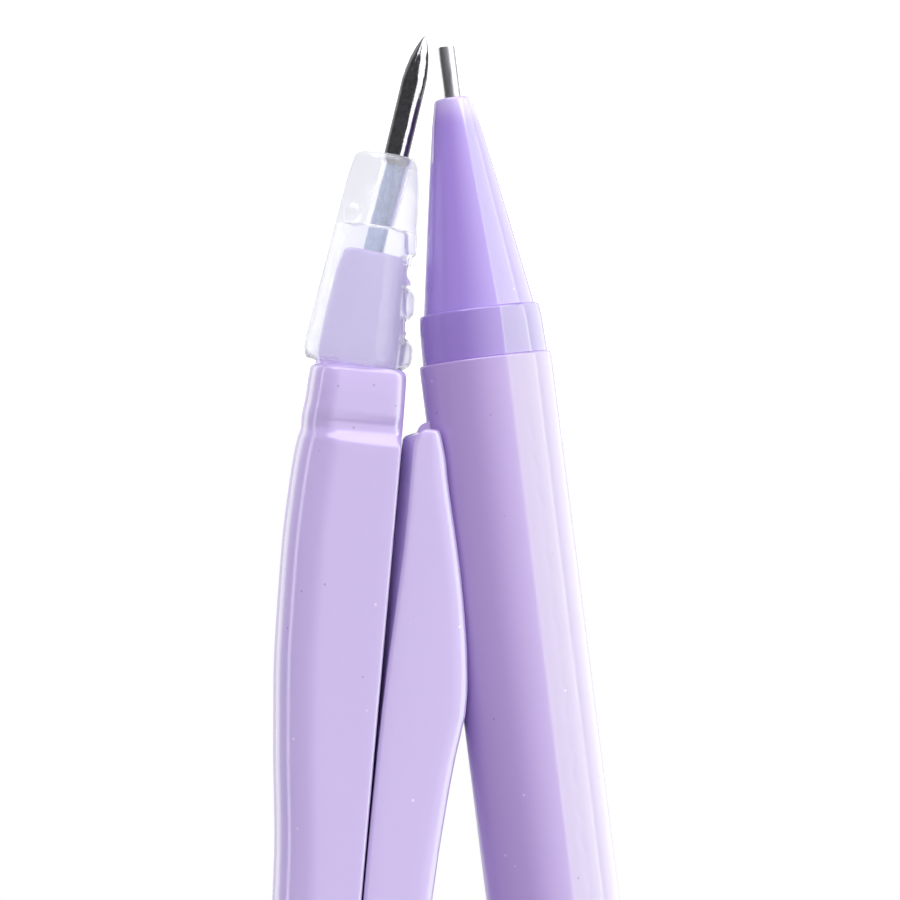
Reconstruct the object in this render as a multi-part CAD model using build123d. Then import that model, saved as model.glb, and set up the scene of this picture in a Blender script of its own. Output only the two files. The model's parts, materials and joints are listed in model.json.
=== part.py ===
from build123d import *
import os
from math import acos, cos, pi, radians, sin, tan

os.makedirs("parts", exist_ok=True)

# Drawing compass, closed, points down. Millimetres.
# The origin is the needle point. +Z runs up along the compass, the legs lie in the XZ plane,
# the needle leg is on the +X side, the pencil leg on the -X side, and -Y is the front.

# ---- driving dimensions: whole compass -------------------------------------------------
CENTRE_X = -1.02            # plane between the closed legs
HINGE_Z = 109.0             # height of both leg hinges above the needle point
HINGE_OFFSET = 5.2          # hinge to centre plane, which is also the gear pitch radius
LEG_HALF_DEPTH = 3.5        # legs, in Y
EYE_HALF_DEPTH = 3.0        # hinge eyes, in Y
LEG_TOP_Z = 103.5           # where a leg meets its hinge eye
RUNNING = 0.05              # radial clearance of a pin that turns or slides

# ---- driving dimensions: needle side ----------------------------------------------------
NEEDLE_LEAN = 8.4           # degrees, point towards the pencil
NEEDLE_R = 0.80
SHANK_R = 1.00
NEEDLE_SHOULDER = 8.6
NEEDLE_LENGTH = 22.0
HOLDER_LEAN = 3.3           # degrees
HOLDER_X = 1.29             # where the holder's axis meets Z = 0
HOLDER_LOW, HOLDER_HIGH = 7.9, 21.6
HOLDER_WALL = 0.75
HOLDER_LEDGE = 12.7         # top of the solid nose of the holder, along its axis
PLUG_LOW = 14.3
NEEDLE_INNER_X = -0.93      # flat inner face of the needle leg
WINDOWS = ((14.6, 16.3), (18.3, 19.6))

# ---- driving dimensions: pencil side ----------------------------------------------------
PENCIL_TILT = 12.25         # degrees from Z, push cap away from the compass
PENCIL_TIP = (-1.41, 0.59)  # X and Z of the end of the lead sleeve
BARREL_R, BARREL_BORE = 4.28, 3.15
BARREL_LOW, BARREL_HIGH = 20.25, 94.0
SADDLE_GAP = 0.15           # between the barrel and the pencil leg that cradles it
ARM_INNER_X = -1.11         # inner face of the pencil leg
PIVOT = (-2.45, 26.0)       # X and Z of the pin that the pencil tilts on
PIVOT_R = 0.60
LUG_R, LUG_HALF = 1.0, 1.4  # the barrel's lug in the fork
SLOT_GAP = 0.15
MAX_TILT = 31.5             # degrees, follows the leg at 0.7
LEAD_R = 0.35
SLEEVE_R = 0.545
PUSH_TRAVEL = 3.0           # push cap towards the tip

# ---- driving dimensions: gears and head -------------------------------------------------
TEETH = 13
PRESSURE = radians(25)
ADDENDUM, DEDENDUM = 0.62, 0.85
BACKLASH = 0.14
HINGE_R = 1.5
COVER_IN = 3.3              # inner faces of the covers, either side of the eyes
COVER_OUT = 5.7
COVER_R = 7.0
HEAD_TOP_Z = 120.0
GEAR_GAP_R = 6.1            # room around each gear inside the head
SKIRT_Z = 111.0             # lower edge of the walls that close the head over the gears
CROSS_PIN_Z = 118.6
CROSS_PIN_R = 0.8
STEM_R = 2.2
HANDLE_R = 4.0

PENCIL = Pos(PENCIL_TIP[0], 0, PENCIL_TIP[1]) * Rot(0, -PENCIL_TILT, 0)
NEEDLE = Rot(0, NEEDLE_LEAN, 0)
HOLDER = Pos(HOLDER_X, 0, 0) * Rot(0, HOLDER_LEAN, 0)


def turned(outline):
    """A solid turned about Z from (radius, height) points."""
    return revolve(Plane.XZ * make_face(Polyline(*outline, close=True)), Axis.Z)


def ring(r_out, r_in, low, high):
    return turned([(r_in, low), (r_out, low), (r_out, high), (r_in, high)])


def rod(r, low, high):
    return Pos(0, 0, low) * Cylinder(r, high - low, align=(Align.CENTER, Align.CENTER, Align.MIN))


def cross_rod(x, z, r, y0, y1):
    """A cylinder along Y from y0 to y1."""
    return Pos(x, (y0 + y1) / 2, z) * Rot(90, 0, 0) * Cylinder(r, y1 - y0)


def slab(face, y0, y1):
    """An outline drawn in X and Z, as thick as y0 to y1."""
    return extrude(Plane((0, y1, 0), (1, 0, 0), (0, -1, 0)) * face, y1 - y0)


def block(x0, x1, y0, y1, z0, z1):
    return Pos((x0 + x1) / 2, (y0 + y1) / 2, (z0 + z1) / 2) * Box(x1 - x0, y1 - y0, z1 - z0)


def save(name, shape):
    export_step(shape, f"parts/{name}.step")


# ---- needle side -------------------------------------------------------------------------
def make_needle():
    point = [(0, 0), (0.32, 0.55), (0.60, 1.45), (NEEDLE_R, 2.7)]
    body = [(NEEDLE_R, NEEDLE_SHOULDER - 0.15), (SHANK_R, NEEDLE_SHOULDER + 0.05),
            (SHANK_R, NEEDLE_LENGTH), (0, NEEDLE_LENGTH)]
    return NEEDLE * turned(point + body)


def holder_radius(z):
    return 2.2 + (z - 8.3) * 0.108


def window_cut(low, high):
    return block(-6.0, -1.6, -1.3, 1.3, low, high)


def make_needle_holder():
    """Clear nose that grips the needle and snaps over the leg's plug."""
    low, high, wall = HOLDER_LOW, HOLDER_HIGH, HOLDER_WALL
    outer = turned([(0, low), (1.7, low), (2.1, low + 0.35), (holder_radius(9.5), 9.5),
                    (holder_radius(19.3), 19.3), (3.5, 20.2), (3.5, 21.1), (3.3, high),
                    (0, high)])
    inner = turned([(0, HOLDER_LEDGE), (holder_radius(HOLDER_LEDGE) - wall, HOLDER_LEDGE),
                    (holder_radius(high) - wall, high + 0.2), (0, high + 0.2)])
    shell = outer - inner
    for window in WINDOWS:
        shell -= window_cut(*window)
    return HOLDER * shell - NEEDLE * rod(SHANK_R, 5.0, 16.0) - NEEDLE * rod(NEEDLE_R + 0.1, 5, 9)


def rounded_section(z, x_in, x_out, depth, r_in, r_out):
    """Level section: softly cornered inner side, well rounded outer side."""
    face = Rectangle(abs(x_out - x_in), depth)
    inner_first = sorted(face.vertices(), key=lambda v: v.X * (1 if x_out > x_in else -1))
    face = fillet(inner_first[:2], r_in)
    outer = sorted(face.vertices(), key=lambda v: v.X * (-1 if x_out > x_in else 1))
    face = fillet(outer[:2], r_out)
    return Pos((x_in + x_out) / 2, 0, z) * face


def make_plug():
    """Tapered plug under the holder, with two sawtooth barbs that fill the windows."""
    def plug_radius(z):
        return holder_radius(z) - HOLDER_WALL - RUNNING

    plug = turned([(0, PLUG_LOW), (plug_radius(PLUG_LOW), PLUG_LOW),
                   (plug_radius(23), 23), (0, 23)])
    for low, high in WINDOWS:
        reach = holder_radius(low) - 0.25
        tooth = make_face(Polyline((0, low + 0.1), (-reach + 0.5, low + 0.1),
                                   (-reach, high - 0.15), (0, high - 0.15), close=True))
        plug += slab(tooth, -1.1, 1.1)
    return HOLDER * plug


def gear(x, phase):
    """Thirteen short involute teeth round a hinge, as thick as the eye."""
    base = HINGE_OFFSET * cos(PRESSURE)

    def involute(r):
        a = acos(min(1.0, base / r))
        return tan(a) - a

    half_pitch = pi / (2 * TEETH) - BACKLASH / (2 * HINGE_OFFSET)
    radii = [HINGE_OFFSET - DEDENDUM, base, HINGE_OFFSET, HINGE_OFFSET + ADDENDUM]
    flank = [(r, half_pitch + involute(HINGE_OFFSET) - involute(max(r, base))) for r in radii]
    points = []
    for k in range(TEETH):
        middle = radians(phase) + 2 * pi * k / TEETH
        for r, a in flank:
            points.append((r * cos(middle - a), r * sin(middle - a)))
        for r, a in reversed(flank):
            points.append((r * cos(middle + a), r * sin(middle + a)))
    outline = make_face(Polyline(*points, close=True))
    return slab(Pos(x, HINGE_Z) * outline, -EYE_HALF_DEPTH, EYE_HALF_DEPTH)


def make_needle_leg():
    x_in = NEEDLE_INNER_X
    neck = loft([rounded_section(z, a, b, d, 1.6, 2.9) for z, a, b, d in (
        (21.9, -0.82, 5.50, 6.2), (24.0, -0.84, 5.62, 6.3), (25.5, -0.88, 5.76, 6.5),
        (26.1, -0.86, 5.70, 6.4))])
    body = loft([rounded_section(z, x_in, b, d, 0.45, r) for z, b, d, r in (
        (26.1, 5.72, 6.6, 2.9), (27.4, 5.98, 7.0, 3.0), (33.4, 6.30, 7.0, 3.0),
        (39.5, 6.20, 7.0, 3.0), (46.0, 5.74, 7.0, 3.0), (54.0, 4.98, 7.0, 2.8),
        (65.0, 4.62, 7.0, 2.6), (80.0, 4.80, 7.0, 2.6), (94.0, 6.20, 6.6, 2.6),
        (LEG_TOP_Z, 8.60, 6.0, 2.6))])
    x = CENTRE_X + HINGE_OFFSET
    eye = gear(x, 180)
    bridge = block(x - 3.4, x + 3.4, -EYE_HALF_DEPTH, EYE_HALF_DEPTH, LEG_TOP_Z - 1.0, HINGE_Z - 2)
    leg = make_plug() + neck + body + eye + bridge
    leg -= NEEDLE * rod(SHANK_R, 10.0, NEEDLE_LENGTH)
    return leg - cross_rod(x, HINGE_Z, HINGE_R + RUNNING, -4, 4)


# ---- pencil leg --------------------------------------------------------------------------
def arm_outline():
    """Pencil leg seen from the front: a leaf at the lower end, then a slim leg to its eye."""
    x_top = CENTRE_X - HINGE_OFFSET
    outer = Spline((-3.55, 25.85), (-4.02, 28.4), (-4.91, 32.2), (-5.92, 37.3), (-6.47, 42.2),
                   (-6.02, 46.2), (-5.50, 52.9), (-5.10, 64.0), (-5.30, 80.0), (-6.75, 94.0),
                   (-9.90, LEG_TOP_Z + 2.0))
    end = outer @ 1
    rest = Polyline(end, (x_top + 3.4, LEG_TOP_Z + 2.0), (ARM_INNER_X, LEG_TOP_Z - 1.0),
                    (ARM_INNER_X, 25.95), (-2.10, 25.55), (-2.55, 25.10), (-3.05, 25.15),
                    (-3.55, 25.85))
    return make_face([outer, rest])


def ear_corner():
    """What rounds off the inner corner of the front ear."""
    arc = TangentArc((-1.55, 26.45), (-2.65, 25.08), tangent=(0, -1))
    return make_face([arc, Polyline((-2.65, 25.08), (-2.65, 24), (0, 24), (0, 26.45),
                                    (-1.55, 26.45))])


def swept_barrel():
    """Room that the barrel takes as it tilts about its pin."""
    barrel = PENCIL * rod(BARREL_R + SADDLE_GAP, BARREL_LOW - 3, BARREL_LOW + 45)
    to_pin, from_pin = Pos(PIVOT[0], 0, PIVOT[1]), Pos(-PIVOT[0], 0, -PIVOT[1])
    steps = 5
    turns = [MAX_TILT * k / (steps - 1) for k in range(steps)]
    return [to_pin * Rot(0, -a, 0) * from_pin * barrel for a in turns]


def make_pencil_leg():
    """Leg whose lower end is a fork: two ears, a web between them and a saddle."""
    arm = slab(arm_outline(), -LEG_HALF_DEPTH, LEG_HALF_DEPTH)
    # The inner side leans: the front face starts further from the needle leg.
    lean = make_face(Polyline((0, -4), (-1.62, -4), (-1.02, 4), (0, 4), close=True))
    arm -= Pos(0, 0, 24) * loft([lean, Pos(0.55, 0, 20.0) * lean])
    arm -= slab(ear_corner(), -4, -LUG_HALF - SLOT_GAP)
    x_top = CENTRE_X - HINGE_OFFSET
    for side in (-1, 1):
        arm -= block(-12, 0, side * 3.6 - 0.6, side * 3.6 + 0.6, LEG_TOP_Z - 4.0, LEG_TOP_Z + 3)
    arm += gear(x_top, 180 / TEETH)
    arm += block(x_top - 3.4, x_top + 3.4, -EYE_HALF_DEPTH, EYE_HALF_DEPTH,
                 LEG_TOP_Z - 1.0, HINGE_Z - 2)
    for cut in swept_barrel():
        arm -= cut
    slot = LUG_HALF + SLOT_GAP
    arm -= cross_rod(*PIVOT, LUG_R + 0.2, -slot, slot)
    arm -= block(-6, 0, -slot, slot, 24, PIVOT[1])
    arm -= cross_rod(*PIVOT, PIVOT_R, -3.0, 4.0)
    return arm - cross_rod(x_top, HINGE_Z, HINGE_R + RUNNING, -4, 4)


def make_pivot_pin():
    return cross_rod(*PIVOT, PIVOT_R, -3.0, 3.4)


# ---- mechanical pencil, drawn along Z from the end of its lead sleeve -----------------------
def cone_radius(z):
    return 1.20 + 2.38 * ((z - 3.35) / 13.75) ** 0.93


def make_pencil_barrel():
    low, high = BARREL_LOW, BARREL_HIGH
    barrel = turned([(BARREL_BORE, low), (4.02, low), (4.2, low + 0.15), (BARREL_R, low + 0.5),
                     (BARREL_R, high - 0.5), (4.0, high), (BARREL_BORE, high)])
    dx, dz = PIVOT[0] - PENCIL_TIP[0], PIVOT[1] - PENCIL_TIP[1]
    tilt = radians(PENCIL_TILT)
    x = dx * cos(tilt) + dz * sin(tilt)
    z = -dx * sin(tilt) + dz * cos(tilt)
    barrel += cross_rod(x, z, LUG_R, -LUG_HALF, LUG_HALF)
    barrel += block(3.6, x, -LUG_HALF, LUG_HALF, z - LUG_R, z + LUG_R)
    return PENCIL * (barrel - cross_rod(x, z, PIVOT_R + RUNNING, -2.6, 2.6))


def make_nose_cone():
    outline = [(SLEEVE_R, 3.45), (1.05, 3.35), (1.2, 3.6)]
    outline += [(cone_radius(z), z) for z in (6.0, 9.0, 12.0, 15.0, 17.1)]
    outline += [(2.8, 17.1), (2.8, 15.5), (2.25, 15.5), (2.25, 12.8), (1.9, 12.8), (1.4, 8.2),
                (1.0, 8.2), (1.0, 6.1), (SLEEVE_R, 6.1)]
    return PENCIL * turned(outline)


def make_collar_ring():
    """Ring between cone and barrel, with a spigot into each."""
    return PENCIL * turned([
        (1.65, 15.5), (2.8, 15.5), (2.8, 17.1), (3.72, 17.1), (3.95, 17.5), (4.05, 20.2),
        (3.1, 20.2), (3.1, 30.0), (2.4, 30.0), (2.4, 18.6), (1.65, 18.6)])


def make_lead_sleeve():
    return PENCIL * ring(SLEEVE_R, LEAD_R + 0.05, 0, 6.0)


def make_lead_retainer():
    return PENCIL * ring(1.0, LEAD_R + 0.03, 6.15, 8.1)


def make_clutch_ring():
    return PENCIL * turned([(1.36, 12.9), (2.2, 12.9), (2.2, 15.0), (1.12, 15.0)])


def make_chuck():
    """Split collet on a stem that is pressed into the lead tube."""
    bore = LEAD_R
    chuck = turned([(bore, 11.4), (1.05, 11.4), (1.25, 11.7), (1.25, 13.2), (1.0, 14.6),
                    (1.0, 24.0), (bore, 24.0)])
    for k in range(3):
        chuck -= Rot(0, 0, 120 * k) * block(0.2, 1.5, -0.12, 0.12, 11.0, 19.0)
    return PENCIL * chuck


def make_chuck_spring():
    low, high, wire, turns = 18.95, 31.15, 0.18, 9
    path = Helix(pitch=(high - low) / turns, height=high - low, radius=1.95)
    start = Plane(path @ 0, z_dir=path % 0)
    return PENCIL * Pos(0, 0, low) * sweep(start * Circle(wire), path=path)


def make_lead_tube():
    return PENCIL * turned([
        (1.0, 20.5), (1.5, 20.5), (1.5, 31.5), (2.2, 31.5), (2.2, 101.0), (1.5, 101.0),
        (1.5, 32.5), (1.0, 32.5)])


def make_lead():
    return PENCIL * rod(LEAD_R, 0.3, 60.0)


def make_spare_leads():
    return [PENCIL * Pos(side * 0.86, 0, 0) * rod(LEAD_R, 33.5, 93.5) for side in (-1, 1)]


def make_eraser():
    return PENCIL * rod(1.5, 97.0, 103.4)


def make_push_cap():
    r = BARREL_BORE - RUNNING - 0.02
    shoulder = BARREL_HIGH + PUSH_TRAVEL + 0.6
    return PENCIL * turned([
        (2.25, 86.0), (r, 86.0), (r, shoulder), (3.45, shoulder), (3.6, shoulder + 0.3),
        (3.5, 104.6), (2.6, 105.8), (0, 106.1), (0, 104.4), (2.25, 104.4)])


# ---- head and handle ---------------------------------------------------------------------
def head_outline():
    sides = [Pos(CENTRE_X + s * HINGE_OFFSET, HINGE_Z) * Circle(COVER_R) for s in (-1, 1)]
    top = Pos(CENTRE_X, 117.0) * Circle(4.7)
    whole = make_hull((sides[0] + sides[1] + top).edges())
    return whole & Pos(CENTRE_X, HINGE_Z + 1) * Rectangle(40, 2 * (HEAD_TOP_Z - HINGE_Z - 1))


def make_cover(front):
    """Cover with half of the block that holds the handle's stem over the gears."""
    side = -1 if front else 1
    plate = slab(head_outline(), *sorted((side * COVER_IN, side * COVER_OUT)))
    outer = plate.faces().sort_by(Axis.Y)[0 if front else -1]
    plate = fillet(outer.edges(), 0.9)
    half = slab(head_outline(), *sorted((0, side * COVER_IN)))
    half -= block(-30, 30, -9, 9, 90, SKIRT_Z)
    cover = plate + half
    for s in (-1, 1):
        x = CENTRE_X + s * HINGE_OFFSET
        cover -= cross_rod(x, HINGE_Z, GEAR_GAP_R, *sorted((0, side * COVER_IN)))
        cover -= cross_rod(x, HINGE_Z, HINGE_R, -9, 9)
        if front:
            cover -= cross_rod(x, HINGE_Z, 2.75, -9, -4.5)
        else:
            cover -= hex_bar(x, 4.1, 9)
    cover -= Pos(CENTRE_X, 0, 0) * stem()
    return cover - cross_rod(CENTRE_X, CROSS_PIN_Z, CROSS_PIN_R, -9, 9)


def hex_bar(x, y0, y1):
    outline = Pos(x, HINGE_Z) * RegularPolygon(2.9, 6)
    return slab(outline, y0, y1)


def make_hinge_screw(x):
    """Shoulder screw from the front: the leg turns on its plain shank."""
    screw = cross_rod(x, HINGE_Z, HINGE_R, -4.6, 5.6)
    head = fillet(cross_rod(x, HINGE_Z, 2.6, -5.6, -4.5).edges().sort_by(Axis.Y)[0], 0.4)
    cross = block(x - 1.5, x + 1.5, -6, -4.9, HINGE_Z - 0.28, HINGE_Z + 0.28)
    cross += block(x - 0.28, x + 0.28, -6, -4.9, HINGE_Z - 1.5, HINGE_Z + 1.5)
    return screw + head - cross


def make_hinge_nut(x):
    return hex_bar(x, 4.1, 5.6) - cross_rod(x, HINGE_Z, HINGE_R, 3, 7)


def make_friction_washers():
    washers = []
    for s in (-1, 1):
        x = CENTRE_X + s * HINGE_OFFSET
        for y0, y1 in ((-COVER_IN, -EYE_HALF_DEPTH), (EYE_HALF_DEPTH, COVER_IN)):
            washer = cross_rod(x, HINGE_Z, 4.0, y0, y1)
            washers.append(washer - cross_rod(x, HINGE_Z, HINGE_R + 0.1, -4, 4))
    return washers


def stem():
    """Spigot of the handle, with a collar that the two covers trap."""
    return turned([(0, 114.4), (STEM_R, 114.4), (STEM_R, 115.2), (3.0, 115.2), (3.0, 116.4),
                   (STEM_R, 116.4), (STEM_R, HEAD_TOP_Z + 0.1), (0, HEAD_TOP_Z + 0.1)])


def make_handle():
    """Knob with a plain stretch, then a ribbed grip."""
    z = HEAD_TOP_Z
    outline = [(0, z), (4.7, z), (4.8, z + 0.3), (4.8, z + 1.2), (4.4, z + 1.7),
               (HANDLE_R, z + 1.8), (HANDLE_R, z + 11.0)]
    ribs, pitch = 5, 1.3
    for k in range(ribs):
        low = z + 11.0 + k * pitch
        outline += [(3.55, low + 0.25), (3.55, low + 0.55), (HANDLE_R, low + 0.8),
                    (HANDLE_R, low + pitch)]
    top = z + 11.0 + ribs * pitch
    outline += [(2.0, top), (2.0, top - 5.0), (0, top - 5.0)]
    handle = Pos(CENTRE_X, 0, 0) * (turned(outline) + stem())
    return handle - cross_rod(CENTRE_X, CROSS_PIN_Z, CROSS_PIN_R, -9, 9)


def make_handle_cap():
    z = HEAD_TOP_Z + 11.0 + 5 * 1.3
    cap = turned([(0, z - 4.5), (2.0, z - 4.5), (2.0, z), (HANDLE_R - 0.15, z),
                  (HANDLE_R, z + 0.2), (HANDLE_R, z + 1.6), (3.5, z + 2.6), (2.4, z + 3.2),
                  (0, z + 3.4)])
    return Pos(CENTRE_X, 0, 0) * cap


save("needle", make_needle())
save("needle_holder", make_needle_holder())
save("needle_leg", make_needle_leg())
save("pencil_leg", make_pencil_leg())
save("pencil_pivot_pin", make_pivot_pin())
save("pencil_barrel", make_pencil_barrel())
save("collar_ring", make_collar_ring())
save("nose_cone", make_nose_cone())
save("lead_sleeve", make_lead_sleeve())
save("lead_retainer", make_lead_retainer())
save("clutch_ring", make_clutch_ring())
save("chuck", make_chuck())
save("chuck_spring", make_chuck_spring())
save("lead_tube", make_lead_tube())
save("lead", make_lead())
save("spare_leads", Compound(children=make_spare_leads()))
save("eraser", make_eraser())
save("push_cap", make_push_cap())
save("head_front_cover", make_cover(front=True))
save("head_back_cover", make_cover(front=False))
save("needle_hinge_screw", make_hinge_screw(CENTRE_X + HINGE_OFFSET))
save("pencil_hinge_screw", make_hinge_screw(CENTRE_X - HINGE_OFFSET))
save("needle_hinge_nut", make_hinge_nut(CENTRE_X + HINGE_OFFSET))
save("pencil_hinge_nut", make_hinge_nut(CENTRE_X - HINGE_OFFSET))
save("friction_washers", Compound(children=make_friction_washers()))
save("handle", make_handle())
save("handle_cap", make_handle_cap())
save("handle_cross_pin", cross_rod(CENTRE_X, CROSS_PIN_Z, CROSS_PIN_R, -5.2, 5.2))
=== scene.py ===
"""Drawing compass: detailed pieces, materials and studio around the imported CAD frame."""
import math

import bmesh
import bpy
from mathutils import Matrix, Vector
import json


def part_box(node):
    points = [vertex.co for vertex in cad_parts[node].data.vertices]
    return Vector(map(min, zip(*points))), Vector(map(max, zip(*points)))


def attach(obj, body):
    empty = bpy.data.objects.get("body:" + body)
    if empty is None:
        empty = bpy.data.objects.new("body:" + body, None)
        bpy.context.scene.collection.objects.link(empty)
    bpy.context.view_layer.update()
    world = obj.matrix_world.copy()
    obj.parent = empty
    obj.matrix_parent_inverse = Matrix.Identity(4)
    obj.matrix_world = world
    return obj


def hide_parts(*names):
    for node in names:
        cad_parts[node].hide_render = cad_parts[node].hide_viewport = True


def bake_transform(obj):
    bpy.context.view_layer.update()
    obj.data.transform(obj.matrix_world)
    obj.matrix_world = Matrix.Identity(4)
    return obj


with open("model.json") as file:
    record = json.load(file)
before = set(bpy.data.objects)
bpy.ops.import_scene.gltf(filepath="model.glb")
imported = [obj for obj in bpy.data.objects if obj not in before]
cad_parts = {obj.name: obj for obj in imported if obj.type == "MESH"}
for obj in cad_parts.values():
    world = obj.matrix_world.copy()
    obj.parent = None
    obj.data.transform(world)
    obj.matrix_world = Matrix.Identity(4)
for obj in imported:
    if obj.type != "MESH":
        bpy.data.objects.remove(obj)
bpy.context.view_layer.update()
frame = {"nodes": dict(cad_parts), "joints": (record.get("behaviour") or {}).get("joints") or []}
nodes = frame["nodes"]
MM = 0.001


# ---- materials -----------------------------------------------------------------------------
class Mat:
    """A node material with short calls for what the recipes below need."""

    def __init__(self, name):
        self.mat = bpy.data.materials.new(name)
        self.mat.use_nodes = True
        self.tree = self.mat.node_tree
        self.shader = self.tree.nodes["Principled BSDF"]
        self.place = self.add("ShaderNodeTexCoord").outputs["Object"]

    def add(self, kind, **settings):
        node = self.tree.nodes.new(kind)
        for key, value in settings.items():
            setattr(node, key, value)
        return node

    def link(self, a, b):
        self.tree.links.new(a, b)

    def set(self, **values):
        for key, value in values.items():
            self.shader.inputs[key.replace("_", " ")].default_value = value

    def noise(self, per_mm, detail=2.0, stretch=(1, 1, 1)):
        """Noise whose grain is 1 / per_mm millimetres."""
        mapping = self.add("ShaderNodeMapping")
        mapping.inputs["Scale"].default_value = stretch
        self.link(self.place, mapping.inputs["Vector"])
        noise = self.add("ShaderNodeTexNoise")
        noise.inputs["Scale"].default_value = per_mm / MM
        noise.inputs["Detail"].default_value = detail
        self.link(mapping.outputs["Vector"], noise.inputs["Vector"])
        return noise.outputs["Fac"]

    def ramp(self, value, low, high, a, b):
        """a where the value is under low, b over high, eased between."""
        node = self.add("ShaderNodeMapRange", interpolation_type="SMOOTHSTEP")
        for socket, number in zip(node.inputs[1:5], (low, high, a, b)):
            socket.default_value = number
        self.link(value, node.inputs["Value"])
        return node.outputs["Result"]

    def mix(self, factor, a, b):
        node = self.add("ShaderNodeMix", data_type="RGBA")
        self.link(factor, node.inputs["Factor"])
        for socket, colour in ((node.inputs["A"], a), (node.inputs["B"], b)):
            if isinstance(colour, tuple):
                socket.default_value = (*colour, 1)
            else:
                self.link(colour, socket)
        return node.outputs["Result"]

    def colour(self, output):
        self.link(output, self.shader.inputs["Base Color"])

    def roughness(self, output):
        self.link(output, self.shader.inputs["Roughness"])

    def bump(self, height, depth_mm, strength=1.0):
        node = self.add("ShaderNodeBump")
        node.inputs["Strength"].default_value = strength
        node.inputs["Distance"].default_value = depth_mm * MM
        self.link(height, node.inputs["Height"])
        self.link(node.outputs["Normal"], self.shader.inputs["Normal"])


SPECK = 0.06                        # radius of a dust speck, as a share of the cell it lies in


def srgb(r, g, b):
    """Linear colour of 0 to 255 display values."""
    def one(v):
        v /= 255
        return v / 12.92 if v <= 0.04045 else ((v + 0.055) / 1.055) ** 2.4
    return tuple(one(v) for v in (r, g, b))


def moulded(name, colour, rough, painted_tip_glow=None):
    """Moulded plastic: a trace of flow marks, a few dust specks and a fine surface ripple.

    The last argument gives the heights, in millimetres, between which a painted glow at the tip,
    standing in for light shining through its thin wall, fades into the full colour."""
    m = Mat(name)
    flow = m.ramp(m.noise(0.12, 2, (1, 1, 0.3)), 0.25, 0.75, 0, 1)
    tint = m.mix(flow, srgb(*(0.985 * c for c in colour)), srgb(*colour))
    for size, per_mm, shade in ((SPECK, 0.55, 0.70), (0.8 * SPECK, 0.41, 1.25)):
        dot = m.add("ShaderNodeTexVoronoi")
        dot.inputs["Scale"].default_value = per_mm / MM
        m.link(m.place, dot.inputs["Vector"])
        spot = m.ramp(dot.outputs["Distance"], size * 0.55, size, 0.55, 0)
        tint = m.mix(spot, tint, srgb(*(min(255, shade * c) for c in colour)))
    # painted light: a paler colour towards the tip, standing in for light shining through the thin
    # plastic
    if painted_tip_glow:
        up = m.add("ShaderNodeSeparateXYZ")
        m.link(m.place, up.inputs["Vector"])
        tip_glow_mask = m.ramp(up.outputs["Z"], painted_tip_glow[0] * MM, painted_tip_glow[1] * MM, 0.55, 0)
        tint = m.mix(tip_glow_mask, tint, srgb(222, 208, 248))
    m.colour(tint)
    m.roughness(m.ramp(m.noise(0.5, 3), 0.3, 0.7, rough - 0.02, rough + 0.03))
    m.bump(m.noise(0.30, 3), 0.02, 0.10)
    m.set(IOR=1.53)
    return m.mat


def steel(name, colour, rough, streak, grain=0.5):
    """Ground steel: fine marks along its length and faint blotches."""
    m = Mat(name)
    blotch = m.ramp(m.noise(4.0, 4), 0.42, 0.62, 0, 1)
    m.colour(m.mix(blotch, colour, tuple((1 - 0.5 * grain) * c for c in colour)))
    m.roughness(m.ramp(m.noise(3.0, 3, (1, 1, 0.15)), 0.3, 0.7, rough, rough + 0.12))
    m.bump(m.noise(5.0, 4, (1, 1, streak)), 0.02, grain)
    m.set(Metallic=1.0)
    return m.mat


def frosted(name):
    """Milky clear plastic: blurs what is behind it and scatters a little light itself."""
    m = Mat(name)
    m.roughness(m.ramp(m.noise(0.5, 2), 0.3, 0.7, 0.08, 0.14))
    m.set(Base_Color=(0.90, 0.90, 0.96, 1), Transmission_Weight=0.82, IOR=1.36)
    m.bump(m.noise(0.35, 2), 0.03, 0.10)
    return m.mat


def plain(name, colour, rough, metallic=0.0, grain=1.5):
    """Even material with faint patches and a fine grain."""
    m = Mat(name)
    patch = m.ramp(m.noise(grain, 3), 0.35, 0.65, 0, 1)
    m.colour(m.mix(patch, colour, tuple(0.88 * c for c in colour)))
    m.roughness(m.ramp(m.noise(2 * grain, 2), 0.3, 0.7, rough - 0.04, rough + 0.06))
    m.bump(m.noise(4 * grain, 2), 0.01, 0.3)
    m.set(Metallic=metallic)
    return m.mat


BODY = moulded("lilac_body", (200, 181, 234), 0.14)
BARREL = moulded("lilac_barrel", (178, 152, 214), 0.15)
CONE = moulded("violet_cone", (166, 138, 222), 0.10)
COLLAR = moulded("violet_collar", (154, 126, 208), 0.10)
# the nose cone's tip gets a painted glow for light shining through its thin wall
NOSE = moulded("violet_nose", (166, 138, 222), 0.10, painted_tip_glow=(3.9, 5.8))
CLEAR = frosted("frosted_clear")
STEEL = steel("needle_steel", (0.19, 0.185, 0.20), 0.07, 0.5)
SHANK = steel("shank_steel", (0.27, 0.36, 0.54), 0.20, 0.3)
TUBE_STEEL = steel("sleeve_steel", (0.30, 0.295, 0.32), 0.36, 0.1, 0.1)
PIN = steel("pin_steel", (0.40, 0.40, 0.42), 0.25, 1.0)
SCREW = steel("screw_nickel", (0.42, 0.42, 0.42), 0.28, 1.0)
BRASS = plain("brass", (0.78, 0.56, 0.22), 0.25, 1.0)
NYLON = plain("nylon", (0.86, 0.86, 0.82), 0.5)
RUBBER = plain("rubber", (0.03, 0.03, 0.032), 0.7)
ERASER = plain("eraser", (0.85, 0.85, 0.87), 0.75)
WHITE_TUBE = plain("white_tube", (0.82, 0.80, 0.86), 0.4)
GRAPHITE = plain("graphite", (0.05, 0.05, 0.055), 0.45, 0.3)

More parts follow.
